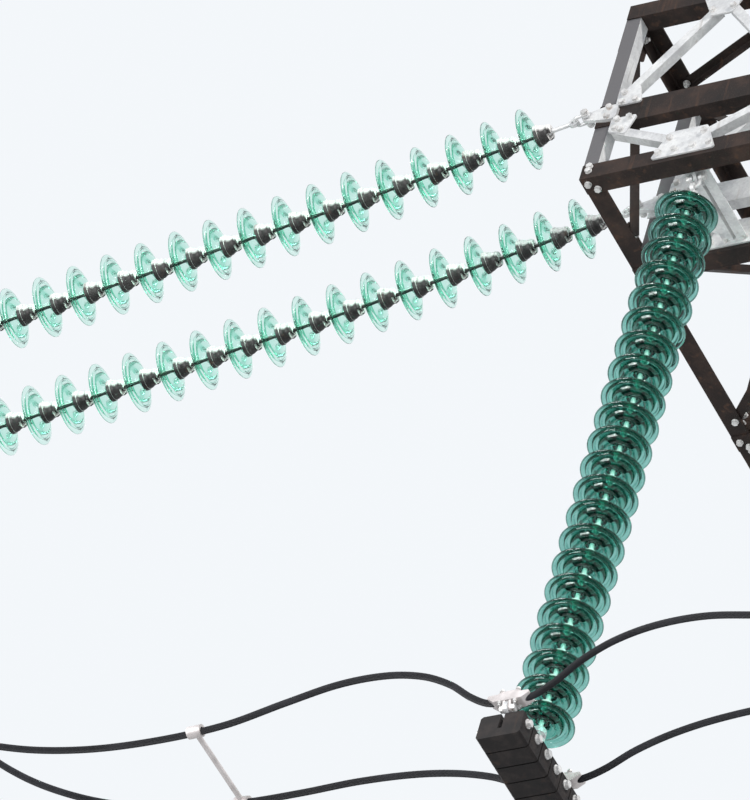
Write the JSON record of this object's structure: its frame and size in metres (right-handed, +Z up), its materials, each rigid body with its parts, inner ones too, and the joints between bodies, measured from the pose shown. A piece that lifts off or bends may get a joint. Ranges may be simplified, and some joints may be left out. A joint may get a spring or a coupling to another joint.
{
  "type": "lattice tension pylon cross-arm tip with insulator strings",
  "caption": "End bays of a lattice tension pylon's cross-arm with glass tension strings, a weighted jumper string and jumper conductors; bolts to the arm behind it.",
  "frame": {"origin": "middle of the flat back of the bottom beam of the root frame, where the arm bolts to the tower", "axes": "+X along the power line, +Y from the tip in towards the tower body, +Z up"},
  "size_m": [9.768, 2.805, 4.738],
  "materials": {
    "weathered_steel": "matte",
    "galvanised_steel": "matte",
    "cast_caps": "matte",
    "green_glass": "polished",
    "alloy": "satin",
    "cast_weights": "matte",
    "conductor": "matte"
  },
  "bodies": {
    "root": {"bottom_chord_left": "weathered_steel", "bottom_chord_right": "weathered_steel", "top_chord_left": "weathered_steel", "top_chord_right": "weathered_steel", "tip_bottom_beam": "weathered_steel", "tip_mid_beam": "weathered_steel", "tip_top_beam": "weathered_steel", "tip_posts": "galvanised_steel", "tip_bracing": "galvanised_steel", "inner_bottom_beam": "weathered_steel", "inner_mid_beam": "weathered_steel", "inner_top_beam": "weathered_steel", "inner_posts": "galvanised_steel", "inner_bracing": "galvanised_steel", "bay_frame": "weathered_steel", "root_frame": "weathered_steel", "side_bracing_left": "galvanised_steel", "side_bracing_right": "galvanised_steel", "bottom_bracing": "galvanised_steel", "top_bracing": "galvanised_steel", "string_lugs": "galvanised_steel", "tension_links": "galvanised_steel", "caps_outer_left": "cast_caps", "glass_outer_left": "green_glass", "caps_inner_left": "cast_caps", "glass_inner_left": "green_glass", "caps_outer_right": "cast_caps", "glass_outer_right": "green_glass", "caps_inner_right": "cast_caps", "glass_inner_right": "green_glass", "line_yoke_left": "galvanised_steel", "line_yoke_right": "galvanised_steel", "dead_ends_left": "alloy", "dead_ends_right": "alloy", "jumper_hanger": "weathered_steel", "jumper_link": "galvanised_steel", "jumper_caps": "cast_caps", "jumper_glass": "green_glass", "jumper_yoke": "galvanised_steel", "jumper_clamps": "alloy", "counterweights": "cast_weights", "conductor_outer": "conductor", "conductor_inner": "conductor", "spacer_left": "alloy", "spacer_right": "alloy"}
  },
  "joints": []
}
